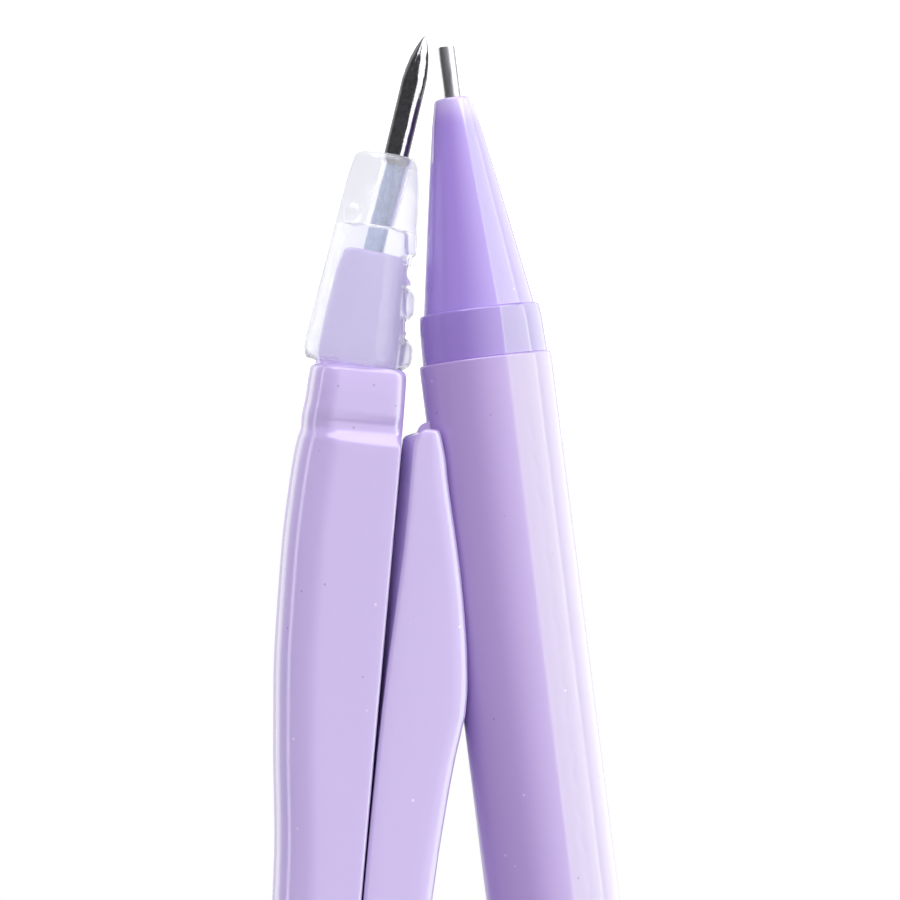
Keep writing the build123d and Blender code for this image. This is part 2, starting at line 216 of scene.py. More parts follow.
CAD_FINISH = {
    "needle": STEEL, "needle_holder": CLEAR, "needle_leg": BODY, "pencil_leg": BODY,
    "pencil_pivot_pin": PIN, "pencil_barrel": BARREL, "collar_ring": CONE, "nose_cone": CONE,
    "lead_sleeve": TUBE_STEEL, "lead_retainer": RUBBER, "clutch_ring": BRASS, "chuck": BRASS,
    "chuck_spring": PIN, "lead_tube": WHITE_TUBE, "lead": GRAPHITE, "spare_leads": GRAPHITE,
    "eraser": ERASER, "push_cap": CONE, "head_front_cover": BODY, "head_back_cover": BODY,
    "needle_hinge_screw": SCREW, "pencil_hinge_screw": SCREW, "needle_hinge_nut": SCREW,
    "pencil_hinge_nut": SCREW, "friction_washers": NYLON, "handle": BODY, "handle_cap": CONE,
    "handle_cross_pin": PIN,
}
for node, finish in CAD_FINISH.items():
    mesh = nodes[node].data
    mesh.materials.clear()
    mesh.materials.append(finish)


# ---- mesh tools, in millimetres --------------------------------------------------------------
ARC_STEPS = 6


def add_object(name, points, faces, finish, sharp=40):
    """A smooth-shaded mesh object with sharp edges where faces turn by more than sharp degrees."""
    mesh = bpy.data.meshes.new(name)
    mesh.from_pydata([Vector(p) * MM for p in points], [], faces)
    mesh.polygons.foreach_set("use_smooth", [True] * len(mesh.polygons))
    mesh.set_sharp_from_angle(angle=math.radians(sharp))
    mesh.materials.append(finish)
    obj = bpy.data.objects.new(name, mesh)
    bpy.context.scene.collection.objects.link(obj)
    return obj


def skin(rings, closed_ends=True):
    """Points and faces of a surface through rings of equally many points."""
    count = len(rings[0])
    points = [p for ring in rings for p in ring]
    faces = []
    for k in range(len(rings) - 1):
        for i in range(count):
            j = (i + 1) % count
            faces.append((k * count + i, k * count + j, (k + 1) * count + j, (k + 1) * count + i))
    if closed_ends:
        faces.append(tuple(reversed(range(count))))
        faces.append(tuple(range((len(rings) - 1) * count, len(rings) * count)))
    return points, faces


def soften(outline, closed=False):
    """(r, z) points with each corner (r, z, radius) turned into an arc."""
    result = []
    count = len(outline)
    for k, corner in enumerate(outline):
        here = Vector(corner[:2])
        radius = corner[2] if len(corner) > 2 else 0
        if not radius or (not closed and k in (0, count - 1)):
            result.append(here)
            continue
        before = Vector(outline[k - 1][:2]) - here
        after = Vector(outline[(k + 1) % count][:2]) - here
        reach = min(radius, 0.49 * before.length, 0.49 * after.length)
        a, b = here + before.normalized() * reach, here + after.normalized() * reach
        for step in range(ARC_STEPS + 1):
            t = step / ARC_STEPS
            result.append(a * (1 - t) ** 2 + here * 2 * t * (1 - t) + b * t * t)
    return result


def refine(outline, longest):
    """The same line with no stretch longer than longest."""
    result = [outline[0]]
    for a, b in zip(outline, outline[1:]):
        pieces = max(1, math.ceil((b - a).length / longest))
        result += [a.lerp(b, k / pieces) for k in range(1, pieces + 1)]
    return result


def lathe(name, outline, place, finish, segments=96, shape=None, longest=50.0, sharp=40):
    """A ring-shaped solid turned about Z from a closed (r, z) outline, then put in place.

    shape(angle, r, z) can give a point its own radius."""
    line = refine(outline + [outline[0]], longest)[:-1]
    rings = []
    for k in range(segments):
        angle = 2 * math.pi * k / segments
        ring = []
        for r, z in line:
            reach = shape(angle, r, z) if shape else r
            ring.append(place @ Vector((reach * math.cos(angle), reach * math.sin(angle), z)))
        rings.append(ring)
    points, faces = skin(rings + [rings[0]], closed_ends=False)
    count = len(line)
    last = segments * count
    faces = [tuple(v - last if v >= last else v for v in face) for face in faces]
    obj = add_object(name, points[:last], faces, finish, sharp)
    tidy_mesh(obj)
    return obj


def tidy_mesh(obj):
    """Joins doubled points, as on an axis, and turns every face outwards."""
    bm = bmesh.new()
    bm.from_mesh(obj.data)
    bmesh.ops.remove_doubles(bm, verts=bm.verts, dist=0.0004 * MM)
    bmesh.ops.dissolve_degenerate(bm, edges=bm.edges, dist=0.0002 * MM)
    bmesh.ops.recalc_face_normals(bm, faces=bm.faces)
    bm.to_mesh(obj.data)
    bm.free()


def carve(obj, cutters, sharp=40, operation="DIFFERENCE"):
    """Cuts each cutter out of obj, or joins it on, and removes the cutters."""
    for cutter in cutters:
        tool = obj.modifiers.new("cut", "BOOLEAN")
        tool.operation, tool.object, tool.solver = operation, cutter, "EXACT"
        graph = bpy.context.evaluated_depsgraph_get()
        result = bpy.data.meshes.new_from_object(obj.evaluated_get(graph))
        obj.modifiers.clear()
        obj.data = result
        bpy.data.objects.remove(cutter)
    obj.data.polygons.foreach_set("use_smooth", [True] * len(obj.data.polygons))
    obj.data.set_sharp_from_angle(angle=math.radians(sharp))


def bar(place, r, low, high, segments=48):
    """A plain round cutter along the place's Z."""
    def ring(z):
        turn = [2 * math.pi * k / segments for k in range(segments)]
        return [place @ Vector((r * math.cos(a), r * math.sin(a), z)) for a in turn]
    return add_object("cutter", *skin([ring(low), ring(high)]), None)


# ---- places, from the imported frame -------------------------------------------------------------
joints = {joint["name"]: joint for joint in frame["joints"]}
needle_hinge = Vector(joints["needle_leg_swing"]["pos_m"]) / MM
pencil_hinge = Vector(joints["pencil_leg_swing"]["pos_m"]) / MM
pivot = Vector(joints["pencil_tilt"]["pos_m"]) / MM
to_tip = Vector(joints["push_cap_press"]["axis"])
PENCIL_TILT = math.atan2(to_tip.x, -to_tip.z)
SLEEVE_LENGTH = 6.0
sleeve_low, sleeve_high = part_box("lead_sleeve")
pencil_end = (sleeve_low + sleeve_high) / 2 / MM + to_tip * SLEEVE_LENGTH / 2
PENCIL = Matrix.Translation(pencil_end) @ Matrix.Rotation(-PENCIL_TILT, 4, "Y")
NEEDLE = Matrix.Rotation(math.radians(8.4), 4, "Y")
HOLDER = Matrix.Translation((1.29, 0, 0)) @ Matrix.Rotation(math.radians(3.3), 4, "Y")
LEVEL = Matrix.Identity(4)


def through(keys, z):
    """A smooth curve through (z, value) keys."""
    if z <= keys[0][0]:
        return keys[0][1]
    if z >= keys[-1][0]:
        return keys[-1][1]
    k = max(i for i in range(len(keys) - 1) if keys[i][0] <= z)
    (z0, v0), (z1, v1) = keys[k], keys[k + 1]
    span = z1 - z0
    slope = (v1 - v0) / span
    before = (v0 - keys[k - 1][1]) / (z0 - keys[k - 1][0]) if k else slope
    after = (keys[k + 2][1] - v1) / (keys[k + 2][0] - z1) if k + 2 < len(keys) else slope

    def gentle(a, b):
        return 0.0 if a * b <= 0 else 2 * a * b / (a + b)

    m0, m1, t = gentle(before, slope), gentle(slope, after), (z - z0) / span
    return ((2 * t**3 - 3 * t**2 + 1) * v0 + (t**3 - 2 * t**2 + t) * span * m0
            + (3 * t**2 - 2 * t**3) * v1 + (t**3 - t**2) * span * m1)


def steps(low, high, size):
    """Even steps of about a size, with both ends."""
    count = max(1, round((high - low) / size))
    return [low + (high - low) * k / count for k in range(count + 1)]


def bell(x, width):
    return math.exp(-(x / width) ** 2)


def turned_from(angle, middle):
    """How far an angle is from another, from -pi to pi."""
    return math.atan2(math.sin(angle - middle), math.cos(angle - middle))


# ---- needle side -------------------------------------------------------------------------------
SHANK_R, NEEDLE_R = 0.66, 0.8
POINT_HIGH = 3.2                    # the ground facets fade out here
NEEDLE_STEP = 8.7                   # the needle narrows to its shank here
HOLDER_WALL = 0.78
HOLDER_INSIDE = math.pi             # the holder's side that faces the pencil
WINDOWS = ((14.75, 16.25), (18.2, 19.5))
LOBES = (17.2, 20.55)               # middles of the wall's two lobes
GATE_Z, GATE_ANGLE = 11.95, math.radians(-52)


def make_needle():
    outline = soften([
        (0, 0), (0.10, 0.10, 0.05), (0.34, 0.60, 0.3), (0.62, 1.50, 0.4), (NEEDLE_R, 2.75, 0.5),
        (NEEDLE_R, 8.5, 0.1), (SHANK_R, NEEDLE_STEP, 0.05), (SHANK_R, 21.9, 0.1), (0, 21.9)])

    def ground(angle, r, z):
        """Hand-ground point: four soft facets that fade out up the cone."""
        if z > POINT_HIGH or r == 0:
            return r
        flat = 0.5 - 0.5 * math.cos(4 * (angle - 0.20))
        uneven = 1 + 0.01 * math.sin(9 * z + 3 * angle)
        return r * (1 - 0.17 * flat * (1 - z / POINT_HIGH)) * uneven

    needle = lathe("needle_ground", outline, NEEDLE, STEEL, 72, ground, 0.4, 60)
    needle.data.materials.append(SHANK)
    for face in needle.data.polygons:
        face.material_index = int(face.center.z > NEEDLE_STEP * MM)
    return needle


def holder_shape(angle, r, z):
    """Flat with two clear lobes on the side of the snap windows, and a gate mark on the front."""
    if r < holder_radius(z) - 0.4:
        return r
    aside = turned_from(angle, HOLDER_INSIDE)
    facing = 1 / (1 + math.exp((abs(aside) - 0.55) / 0.05))
    step = 1 / (1 + math.exp(-(z - 14.15) / 0.07))
    lobes = sum(math.exp(-((z - middle) / 0.86) ** 6) for middle in LOBES)
    r += facing * step * (0.34 * min(1.0, lobes) - 0.34)
    across = turned_from(angle, GATE_ANGLE) * r
    away = math.hypot(across, z - GATE_Z)
    return r - 0.03 * bell(away, 0.35) + 0.05 * bell(away - 0.60, 0.16)


def holder_radius(z):
    return 2.2 + (z - 8.3) * 0.108


def within_holder(point):
    """The point, moved towards the holder's axis if it isn't clear of the holder's wall."""
    local = HOLDER.inverted() @ Vector(point)
    reach = math.hypot(local.x, local.y)
    limit = holder_radius(local.z) - HOLDER_WALL - 0.04
    if reach > limit:
        local.x *= limit / reach
        local.y *= limit / reach
    return HOLDER @ local


def make_holder():
    """Clear nose: solid round the needle, hollow round the plug, with two snap windows."""
    wall, ledge, high = HOLDER_WALL, 12.6, 21.6
    outline = soften([
        (0, 7.9), (2.02, 7.9, 0.55), (holder_radius(9.5), 9.5, 0.8),
        (holder_radius(18.9), 18.9, 0.8), (3.5, 20.2, 0.6), (3.5, 21.0, 0.5), (3.28, high, 0.25),
        (holder_radius(high) - wall - 0.05, high, 0.15), (holder_radius(20) - wall, 20.0),
        (holder_radius(ledge) - wall, ledge, 0.35), (0, ledge)])
    holder = lathe("holder_clear", outline, HOLDER, CLEAR, 176, holder_shape, 0.14, 50)
    cuts = [bar(NEEDLE, NEEDLE_R + 0.03, 5, 8.75), bar(NEEDLE, SHANK_R + 0.05, 8.6, 14.5)]
    for window in WINDOWS:
        cuts.append(box_mesh("cutter", (-6, -1.0), (-1.25, 1.25), window, HOLDER, 0.3))
    carve(holder, cuts, 50)
    return holder


def box_mesh(name, x, y, z, place, corner, finish=None):
    """A bar along X whose four long corners are round."""
    profile = soften([(y[0], z[0], corner), (y[1], z[0], corner), (y[1], z[1], corner),
                      (y[0], z[1], corner)], closed=True)
    rings = [[place @ Vector((at, p.x, p.y)) for p in profile] for at in x]
    obj = add_object(name, *skin(rings), finish)
    tidy_mesh(obj)
    return obj


def prism(name, outline, y0, y1, place, finish=None):
    """An outline in X and Z, as thick as y0 to y1."""
    rings = [[place @ Vector((x, y, z)) for x, z in outline] for y in (y0, y1)]
    obj = add_object(name, *skin(rings), finish)
    tidy_mesh(obj)
    return obj


ROUND_STEPS, CORNER_STEPS, FLAT_STEPS = 72, 6, 10
LEG_DEEP = 3.5                      # half of the legs' depth
DRAFT = 0.022                       # lean of the flat inner faces, per millimetre of depth


def d_ring(z, inner, outer, depth, corner, rounding):
    """Level ring of a leg: flat inner face, flat front and back, and a round outer side."""
    ring = []
    start = outer - rounding
    for k in range(FLAT_STEPS):
        ring.append((inner + corner + (start - inner - corner) * k / FLAT_STEPS, depth))
    for k in range(ROUND_STEPS + 1):
        a = math.pi * (0.5 - k / ROUND_STEPS)
        ring.append((start + rounding * max(0.0, math.cos(a)), depth * math.sin(a)))
    for k in range(FLAT_STEPS, -1, -1):
        ring.append((inner + corner + (start - inner - corner) * k / FLAT_STEPS, -depth))
    for k in range(1, CORNER_STEPS + 1):
        a = math.pi / 2 * k / CORNER_STEPS
        ring.append((inner + corner * (1 - math.sin(a)), -depth + corner * (1 - math.cos(a))))
    for k in range(1, FLAT_STEPS):
        ring.append((inner, (depth - corner) * (2 * k / FLAT_STEPS - 1)))
    for k in range(CORNER_STEPS):
        a = math.pi / 2 * (1 - k / CORNER_STEPS)
        ring.append((inner + corner * (1 - math.sin(a)), depth - corner * (1 - math.cos(a))))
    return [(x, y, z) for x, y in ring]


# (height, value) keys of the needle leg's rings and its plug
LEG_OUTER = [(21.7, 5.2), (21.9, 5.45), (22.4, 5.52), (24.0, 5.63), (25.2, 5.75), (25.8, 5.73),
             (26.5, 5.88), (27.3, 6.0), (29.5, 6.17), (33.4, 6.30), (39.5, 6.20), (46.0, 5.74),
             (54.0, 4.98), (65.0, 4.62), (80.0, 4.80), (94.0, 6.20), (103.5, 8.3)]
LEG_INNER = [(21.7, -0.5), (21.9, -0.75), (22.3, -0.84), (25.2, -0.88), (25.8, -0.86),
             (26.8, -0.93), (103.5, -0.93)]
LEG_DEPTH = [(21.7, 3.05), (21.9, 3.22), (22.4, 3.36), (23.4, 3.46), (24.4, 3.46), (25.0, 3.37),
             (25.4, 3.28), (25.65, 3.26), (26.0, 3.34), (26.5, 3.46), (27.0, 3.49), (28.0, 3.5),
             (80.0, 3.5), (94.0, 3.3), (103.5, 3.0)]
LEG_CORNER = [(21.7, 0.7), (25.0, 0.7), (26.8, 0.2), (103.5, 0.2)]
LEG_ROUNDING = [(21.7, 2.2), (25.5, 2.4), (27.0, 3.1), (103.5, 3.1)]
NECK_TWIST = [(21.7, 0.11), (24.4, 0.13), (25.5, 0.155), (25.7, 0.155), (26.7, 0.0), (103.5, 0.0)]
PLUG_OUTER = [(14.25, 3.70), (14.5, 3.98), (20.8, 5.05), (22.2, 5.25)]
PLUG_INNER = [(14.25, 0.42), (14.5, 0.16), (22.2, 0.12)]
PLUG_DEPTH = [(14.25, 1.75), (14.5, 2.02), (20.8, 2.6), (22.2, 2.7)]
# (x, z) outlines of the plug's barbs, which catch in the holder's windows
BARBS = (((0.5, 14.55), (-0.50, 15.95), (-0.52, 16.08), (0.5, 16.12)),
         ((0.5, 18.0), (-0.50, 19.2), (-0.52, 19.32), (0.5, 19.36)))


def gear(name, x, phase, finish):
    """The toothed eye of a leg: thirteen short involute teeth."""
    teeth, pitch_r, pressure = 13, 5.2, math.radians(25)
    base = pitch_r * math.cos(pressure)

    def involute(r):
        a = math.acos(min(1.0, base / r))
        return math.tan(a) - a

    half = math.pi / (2 * teeth) - 0.15 / (2 * pitch_r)
    flank = [(r, half + involute(pitch_r) - involute(max(r, base)))
             for r in (4.36, base, pitch_r, 5.68, 5.8)]
    outline = []
    for k in range(teeth):
        middle = phase + 2 * math.pi * k / teeth
        for side, run in ((-1, flank), (1, flank[::-1])):
            outline += [(x + r * math.cos(middle + side * a),
                         needle_hinge.z + r * math.sin(middle + side * a)) for r, a in run]
    return prism(name, outline, -3.0, 3.0, LEVEL, finish)


def hinge_hole(x):
    """A cutter for the hinge screw."""
    place = Matrix.Translation((x, 0, needle_hinge.z)) @ Matrix.Rotation(math.pi / 2, 4, "X")
    return bar(place, 1.55, -6, 6, 64)


def make_needle_leg():
    """Plug with barbs, neck, shoulder and D-shaped body up to the toothed eye."""
    rings = []
    for z in steps(21.7, 28.0, 0.09) + steps(28.6, 104.5, 0.75):
        inner, outer = through(LEG_INNER, z), through(LEG_OUTER, z)
        ring = d_ring(z, inner, outer, through(LEG_DEPTH, z), through(LEG_CORNER, z),
                      through(LEG_ROUNDING, z))
        lean = through(NECK_TWIST, z)
        rings.append([(x + DRAFT * (y + LEG_DEEP) * (outer - x) / (outer - inner),
                       y * (1 - lean * (outer - x) / (outer - inner)), z) for x, y, z in ring])
    leg = add_object("leg_needle_side", *skin(rings), BODY)
    tidy_mesh(leg)
    rings = []
    for z in steps(14.25, 14.6, 0.07) + steps(14.9, 22.2, 0.4):
        ring = d_ring(z, through(PLUG_INNER, z), through(PLUG_OUTER, z), through(PLUG_DEPTH, z),
                      0.4, 1.6)
        rings.append([within_holder((x, y, z + 0.13 * (2.2 - x) * (22.2 - z) / 8))
                      for x, y, z in ring])
    plug = add_object("cutter", *skin(rings), None)
    tidy_mesh(plug)
    joined = [plug] + [prism("cutter", barb, -1.0, 1.0, LEVEL) for barb in BARBS]
    joined.append(gear("cutter", needle_hinge.x, math.pi, None))
    carve(leg, joined, operation="UNION")
    carve(leg, [bar(NEEDLE, SHANK_R, 12, 21.9), hinge_hole(needle_hinge.x)])
    return leg


# ---- pencil leg --------------------------------------------------------------------------------
# (height, value) keys of the pencil leg's rings, measured outwards from the needle leg
ARM_FRONT_IN = [(25.25, 2.45), (25.30, 2.28), (25.40, 2.10), (25.55, 1.95), (25.8, 1.80),
                (26.1, 1.69), (26.5, 1.63), (27.2, 1.62), (30.0, 1.64), (32.5, 1.62), (35.0, 1.52),
                (37.7, 1.40), (40.3, 1.27), (42.9, 1.18), (45.5, 1.12), (54.0, 1.05), (104.0, 1.04)]
ARM_BACK_IN = [(25.25, 2.44), (25.35, 2.20), (25.50, 1.90), (25.65, 1.50), (25.85, 1.12),
               (26.1, 0.99), (28.0, 0.97), (104.0, 0.98)]
ARM_OUT = [(25.25, 3.08), (25.28, 3.17), (25.38, 3.25), (25.6, 3.34), (26.3, 3.55), (27.1, 3.77),
           (28.4, 4.02), (32.2, 4.91), (34.8, 5.47), (37.3, 5.92), (39.9, 6.28), (42.0, 6.45),
           (42.9, 6.45), (43.9, 6.33), (46.2, 6.02), (49.0, 5.76), (52.9, 5.50), (64.0, 5.10),
           (80.0, 5.30), (94.0, 6.75), (104.0, 9.5)]
ARM_DEPTH = [(25.25, 3.22), (25.35, 3.38), (25.6, 3.47), (26.0, 3.5), (92.0, 3.5), (100.0, 3.05),
             (104.0, 3.0)]
SADDLE_R = 4.43
ARM_DRAFT = 1.18 * DRAFT
SLOT_HALF = 1.55                    # half of the fork's slot for the barrel's lug
TILT_RANGE = math.radians(31.5)


def barrel_side(z, y):
    """How far out the saddle reaches at a height and a depth."""
    up = (z - pencil_end.z) * math.tan(PENCIL_TILT)
    inside = max(0.0, 1 - (y / SADDLE_R) ** 2)
    return -pencil_end.x + up - SADDLE_R / math.cos(PENCIL_TILT) * math.sqrt(inside)


def arm_ring(z):
    """Level ring of the pencil leg, drawn outwards from the needle leg and then mirrored."""
    front, back = through(ARM_FRONT_IN, z), through(ARM_BACK_IN, z)
    out, depth = through(ARM_OUT, z), through(ARM_DEPTH, z)
    corner = min(0.30, 0.35 * (out - front))
    bevel = min(1.05, 0.42 * (out - front))
    drop, shelf = 0.38, 2.2
    outer = [(out - bevel + bevel * math.sin(math.pi / 2 * k / 8),
              -depth + drop * (1 - math.cos(math.pi / 2 * k / 8))) for k in range(9)]
    ring = [(back, (depth - corner) * (1 - k / 6)) for k in range(6)]
    low = -(depth - corner)
    ring += [(back + (front - back) * (k / 8) ** 0.85, low + shelf * (1 - k / 8)) for k in range(9)]
    for k in range(1, 7):
        a = math.pi / 2 * k / 6
        ring.append((front + corner * (1 - math.cos(a)), low - corner * math.sin(a)))
    for k in range(1, 6):
        ring.append((front + corner + (out - bevel - front - corner) * k / 6, -depth))
    ring += outer
    side = depth - drop
    ring += [(out, side * (2 * k / 25 - 1)) for k in range(1, 25)]
    ring += [(u, -y) for u, y in reversed(outer)]
    for k in range(1, 6):
        ring.append((out - bevel + (back + corner - out + bevel) * k / 6, depth))
    for k in range(6):
        a = math.pi / 2 * (1 - k / 6)
        ring.append((back + corner * (1 - math.cos(a)), depth - corner + corner * math.sin(a)))
    if z < 60:
        ring = [(max(min(u, barrel_side(z, y)), front + 0.1), y) if u > out - 0.05 else (u, y)
                for u, y in ring]
    ring = [(u - ARM_DRAFT * (y + LEG_DEEP) * max(0.0, out - u) / (out - back), y) for u, y in ring]
    return [(-u, y, z) for u, y in ring]


def make_pencil_leg():
    """Slim leg whose lower end is a leaf-shaped fork with a saddle for the barrel."""
    levels = steps(25.25, 26.4, 0.05) + steps(26.6, 48.0, 0.25) + steps(48.8, 104.0, 0.8)
    leg = add_object("leg_pencil_side", *skin([arm_ring(z) for z in levels]), BODY)
    tidy_mesh(leg)
    carve(leg, [gear("cutter", pencil_hinge.x, math.pi / 13, None)], operation="UNION")
    across = Matrix.Translation(pivot) @ Matrix.Rotation(math.pi / 2, 4, "X")
    slot = box_mesh("cutter", (-6, 0), (-SLOT_HALF, SLOT_HALF), (23, pivot.z + 0.013), LEVEL, 0.0)
    cuts = [hinge_hole(pencil_hinge.x), slot, bar(across, 1.2, -SLOT_HALF, SLOT_HALF),
            bar(across, 0.61, -4, 3)]
    for share in (0.5, 1.0):        # room for the barrel as it tilts
        turn = Matrix.Rotation(-TILT_RANGE * share, 4, "Y")
        swung = Matrix.Translation(pivot) @ turn @ Matrix.Translation(-pivot) @ PENCIL
        cuts.append(bar(swung, SADDLE_R, 12, 60, 128))
    carve(leg, cuts)
    return leg


# ---- mechanical pencil -------------------------------------------------------------------------
BARREL_R, BARREL_LOW, BARREL_HIGH = 4.28, 20.25, 94.0
SEAM = math.radians(238)            # where the barrel's parting line runs


def sink_marks(angle, r, z):
    """Faint parting line with small sinks along the front of the barrel."""
    if r < 4.2 or not 24 < z < 90:
        return r
    seam = turned_from(angle, SEAM)
    ragged = 0.5 + 0.5 * math.sin(2.1 * z) * math.sin(0.73 * z + 1.3)
    return r - 0.05 * ragged * bell(seam - 0.03 * math.sin(3.1 * z), 0.05)


def make_barrel():
    low, high = BARREL_LOW, BARREL_HIGH
    outline = soften([
        (3.15, low + 0.1), (3.98, low, 0.12), (BARREL_R, low + 0.05, 0.42), (BARREL_R, high, 0.6),
        (3.15, high, 0.1)], closed=True)
    barrel = lathe("barrel_tube", outline, PENCIL, BARREL, 288, sink_marks, 0.35)
    local = PENCIL.inverted() @ pivot
    lug = soften([(3.7, local.z + 1.0), (local.x + 0.72, local.z + 1.0, 0.9),
                  (local.x + 0.75, local.z - 0.3, 0.5), (local.x + 0.30, local.z - 1.08, 0.35),
                  (3.7, local.z - 1.3)])
    carve(barrel, [prism("cutter", lug, -1.4, 1.4, PENCIL)], operation="UNION")
    across = Matrix.Translation(pivot) @ Matrix.Rotation(math.pi / 2, 4, "X")
    carve(barrel, [bar(across, 0.65, -2.6, 2.6)])
    return barrel


def cone_radius(z):
    return 1.20 + 2.38 * ((z - 3.35) / 13.75) ** 0.93


def make_cone():
    side = [(cone_radius(z), z) for z in (5.0, 7.5, 10.0, 12.5, 15.0)]
    outline = soften(
        [(0.545, 3.40), (1.17, 3.36, 0.22)] + side + [(3.60, 17.16), (2.8, 17.16), (2.8, 15.5),
         (2.25, 15.5), (2.25, 12.8), (1.9, 12.8), (1.4, 8.2), (0.545, 8.2)], closed=True)
    return lathe("cone_nose", outline, PENCIL, NOSE, 128, None, 0.8)


def make_collar():
    outline = soften([
        (1.65, 15.5), (2.8, 15.5), (2.8, 17.10), (3.86, 17.08, 0.22), (3.96, 17.9, 0.5),
        (4.05, 20.27, 0.05), (3.1, 20.27), (3.1, 30.0), (2.4, 30.0), (2.4, 18.6), (1.65, 18.6)],
        closed=True)
    return lathe("collar", outline, PENCIL, COLLAR, 128, None, 1.5)


def make_sleeve():
    outline = soften([(0.40, 0.02, 0.05), (0.545, 0.0, 0.10), (0.545, 6.0), (0.40, 6.0)],
                     closed=True)
    return lathe("sleeve_tube", outline, PENCIL, TUBE_STEEL, 64, None, 0.6)


def make_push_cap():
    outline = soften([
        (2.25, 86.0), (3.08, 86.0), (3.08, 97.6), (3.5, 97.6, 0.2), (3.6, 99.0, 0.6),
        (3.5, 104.7, 0.8), (2.9, 106.0, 1.0), (0, 106.1), (0, 104.4), (2.25, 104.4)])
    return lathe("push_cap_dome", outline, PENCIL, CONE, 96, None, 1.5)


RIDES = {
    make_needle: ("needle", "needle_arm", "needle_steel"),
    make_holder: ("needle_holder", "needle_arm", "clear_plastic"),
    make_needle_leg: ("needle_leg", "needle_arm", "body_plastic"),
    make_pencil_leg: ("pencil_leg", "pencil_arm", "body_plastic"),
    make_barrel: ("pencil_barrel", "pencil", "barrel_plastic"),
    make_cone: ("nose_cone", "pencil", "cone_plastic"),
    make_collar: ("collar_ring", "pencil", "cone_plastic"),
    make_sleeve: ("lead_sleeve", "pencil", "sleeve_steel"),
    make_push_cap: ("push_cap", "plunger", "cone_plastic"),
}
made = {}
for make, (node, body, slot) in RIDES.items():
    piece = made[node] = make()
    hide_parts(node)
    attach(piece, body)


def make_spring():
    """The chuck spring, as a copy of the imported coil in place of the hidden CAD part."""
    coil = nodes["chuck_spring"].data.copy()
    spring = bpy.data.objects.new("chuck_spring_coil", coil)
    bpy.context.scene.collection.objects.link(spring)
    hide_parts("chuck_spring")
    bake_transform(spring)


make_spring()


# ---- stage, light and camera ---------------------------------------------------------------
def make_world():
    """White seen straight on; in what the parts mirror, a dim room in front and white behind."""
    world = bpy.data.worlds.new("studio")
    bpy.context.scene.world = world
    world.use_nodes = True
    tree = world.node_tree
    back = tree.nodes["Background"]
    place = tree.nodes.new("ShaderNodeTexCoord")
    split = tree.nodes.new("ShaderNodeSeparateXYZ")
    tree.links.new(place.outputs["Generated"], split.inputs["Vector"])
    room = tree.nodes.new("ShaderNodeMapRange")
    room.interpolation_type = "SMOOTHSTEP"
    for socket, number in zip(room.inputs[1:5], (0.20, 0.45, 0.25, 1.0)):
        socket.default_value = number
    tree.links.new(split.outputs["Y"], room.inputs["Value"])
    path = tree.nodes.new("ShaderNodeLightPath")
    seen = tree.nodes.new("ShaderNodeMath")
    seen.operation = "MAXIMUM"
    tree.links.new(room.outputs["Result"], seen.inputs[0])
    tree.links.new(path.outputs["Is Camera Ray"], seen.inputs[1])
    tree.links.new(seen.outputs[0], back.inputs["Strength"])
    back.inputs["Color"].default_value = (1, 1, 1, 1)


AIM = Vector((-0.005, 0, 0.03))
WARM = (0.88, 1.04, 0.65)           # for gloss that comes out nearly white on lilac plastic


def softbox(name, azimuth, distance, width, low, high, radiance, kind, colour=(1, 1, 1)):
    """An upright panel. Azimuth 0 is behind the camera and 90 on the pencil's side.

    kind says whether it lights the surfaces or shows in their gloss."""
    light = bpy.data.lights.new(name, "AREA")
    light.shape = "RECTANGLE"
    light.size, light.size_y = width, high - low
    light.energy = radiance * math.pi * width * (high - low)
    light.color = colour
    obj = bpy.data.objects.new(name, light)
    place_panel(obj, azimuth, distance, (low + high) / 2)
    obj.visible_diffuse = kind == "diffuse"
    obj.visible_glossy = kind == "gloss"
    return obj


def place_panel(obj, azimuth, distance, height):
    """Stands a panel at a distance from the compass, facing it."""
    a = math.radians(azimuth)
    out = Vector((-math.sin(a), -math.cos(a), 0))
    obj.location = AIM * Vector((1, 1, 0)) + out * distance + Vector((0, 0, height))
    obj.rotation_mode = "QUATERNION"
    obj.rotation_quaternion = out.to_track_quat("Z", "Y")
    obj.visible_camera = False
    obj.visible_transmission = False
    bpy.context.scene.collection.objects.link(obj)


def spare(piece, *lights):
    """Keeps these lights off one piece."""
    for light in lights:
        group = light.light_linking.receiver_collection
        if not group:
            group = bpy.data.collections.new(light.name + "_spares")
            light.light_linking.receiver_collection = group
        group.objects.link(piece)
        for entry in group.collection_objects:
            entry.light_linking.link_state = "EXCLUDE"


def only(light, *pieces):
    """Keeps a light to these pieces."""
    group = bpy.data.collections.new(light.name + "_only")
    light.light_linking.receiver_collection = group
    for piece in pieces:
        group.objects.link(piece)


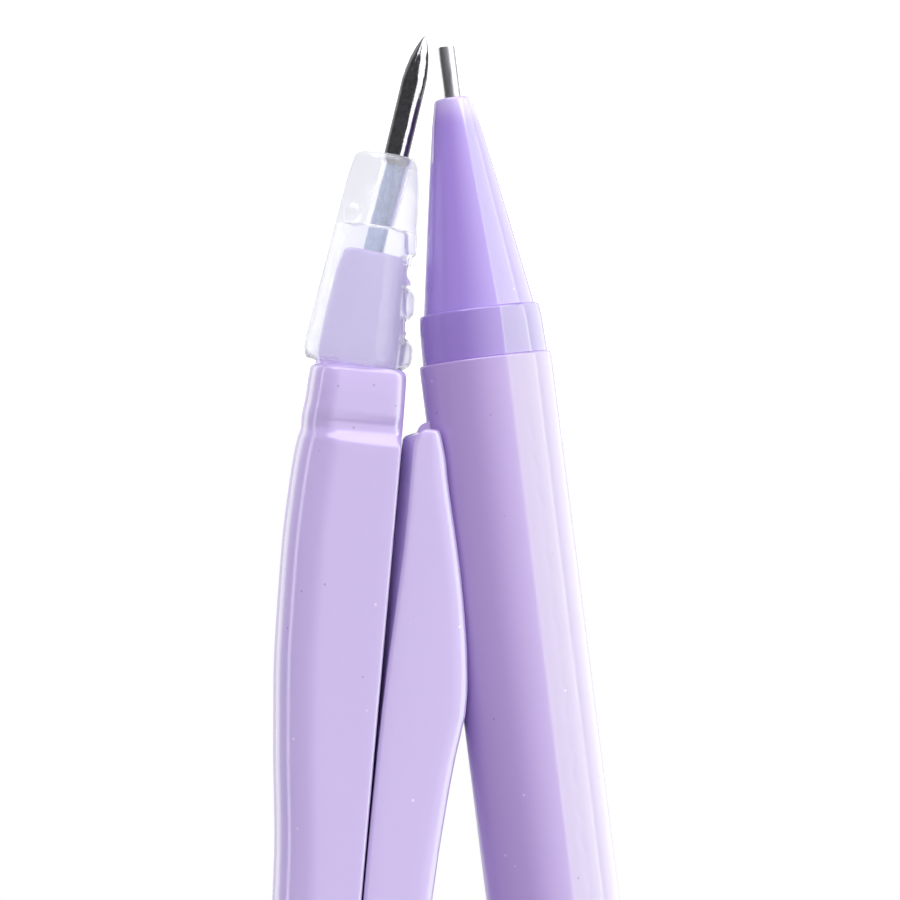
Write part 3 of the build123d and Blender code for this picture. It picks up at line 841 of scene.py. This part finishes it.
def feathered_panel(name, azimuth, distance, width, low, high, first, last, colour=(1, 1, 1)):
    """A glowing sheet that goes from one radiance to another with growing azimuth."""
    half = width / 2
    corners = [(-half, low, 0), (half, low, 0), (half, high, 0), (-half, high, 0)]
    mesh = bpy.data.meshes.new(name)
    mesh.from_pydata(corners, [], [(0, 1, 2, 3)])
    obj = bpy.data.objects.new(name, mesh)
    place_panel(obj, azimuth, distance, 0)
    m = Mat(name)
    across = m.add("ShaderNodeSeparateXYZ")
    m.link(m.place, across.inputs["Vector"])
    glow = m.add("ShaderNodeEmission")
    glow.inputs["Color"].default_value = (*colour, 1)
    m.link(m.ramp(across.outputs["X"], half, -half, first, last), glow.inputs["Strength"])
    both = m.add("ShaderNodeAddShader")
    m.link(glow.outputs[0], both.inputs[0])
    m.link(m.add("ShaderNodeBsdfTransparent").outputs[0], both.inputs[1])
    m.link(both.outputs[0], m.tree.nodes["Material Output"].inputs["Surface"])
    mesh.materials.append(m.mat)
    obj.visible_diffuse = False
    obj.visible_shadow = False
    return obj


def make_floor():
    bpy.ops.mesh.primitive_plane_add(size=6, location=(0, 0, -0.0002))
    floor = bpy.context.object
    floor.name = "floor"
    m = Mat("pale_floor")
    m.colour(m.mix(m.ramp(m.noise(0.01, 2), 0.4, 0.6, 0, 1), (0.9, 0.9, 0.9), (0.88, 0.88, 0.88)))
    m.set(Roughness=0.9, Emission_Color=(1, 1, 1, 1), Emission_Strength=0.75)
    floor.data.materials.append(m.mat)
    floor.visible_glossy = False
    floor.visible_shadow = False


ROLL = math.radians(5.1)            # the compass leans this much in the picture, points up
CAMERA_DISTANCE = 0.170
FRAME_WIDTH = 0.05806               # width of the view at the compass
FRAME_CENTRE = Vector((-0.00398, 0, 0.02646))


def make_camera():
    camera = bpy.data.cameras.new("camera")
    camera.sensor_width = 36
    camera.lens = 36 * CAMERA_DISTANCE / FRAME_WIDTH
    obj = bpy.data.objects.new("camera", camera)
    right = Vector((-math.cos(ROLL), 0, -math.sin(ROLL)))
    up = Vector((math.sin(ROLL), 0, -math.cos(ROLL)))
    back = right.cross(up)
    turn = Matrix((right, up, back)).transposed().to_4x4()
    obj.matrix_world = Matrix.Translation(FRAME_CENTRE + back * CAMERA_DISTANCE) @ turn
    bpy.context.scene.collection.objects.link(obj)
    bpy.context.scene.camera = obj


def make_lights(needle, holder, sleeve, needle_leg, nickel):
    """Soft panels round the compass, some kept to the pieces or off them."""
    wash = feathered_panel("wash", -1, 0.42, 0.70, -0.50, 0.25, 0, 4.4)
    key = softbox("key", 66, 0.38, 0.42, -0.50, 0.25, 7.6, "gloss", WARM)
    side = feathered_panel("side", 125, 0.42, 0.52, -0.50, 0.40, 5.4, 1.6, WARM)
    rim = softbox("rim", -130, 0.40, 0.14, -0.40, 0.40, 1.8, "gloss", WARM)
    only(softbox("strip", -88, 0.34, 0.050, -0.40, 0.40, 3.6, "gloss"), needle_leg)
    for piece in (needle, sleeve, *nickel):
        spare(piece, wash, key, side)
    spare(needle, rim)
    spare(holder, wash, key, rim)
    holder.visible_shadow = False
    only(softbox("metal_key", 68, 0.38, 0.44, -0.50, 0.25, 7.0, "gloss"), needle, sleeve, *nickel)
    only(softbox("sleeve_edge", -122, 0.40, 0.30, -0.40, 0.40, 2.6, "gloss"), sleeve)
    only(softbox("clear_key", 66, 0.38, 0.42, -0.50, 0.25, 2.0, "gloss"), holder)
    softbox("front", 22, 0.60, 0.50, -0.25, 0.35, 1.45, "diffuse")
    below = softbox("below", 0, 0.12, 0.60, -0.20, 0.20, 5.5, "gloss")
    below.location.z = -0.35
    below.rotation_quaternion = (below.location - AIM).to_track_quat("Z", "Y")


make_world()
make_floor()
make_camera()
NICKEL_NODES = ("needle_hinge_screw", "pencil_hinge_screw", "needle_hinge_nut",
                "pencil_hinge_nut", "handle_cross_pin")
make_lights(made["needle"], made["needle_holder"], made["lead_sleeve"], made["needle_leg"],
            [nodes[name] for name in NICKEL_NODES])
bpy.context.scene.view_settings.view_transform = "Standard"
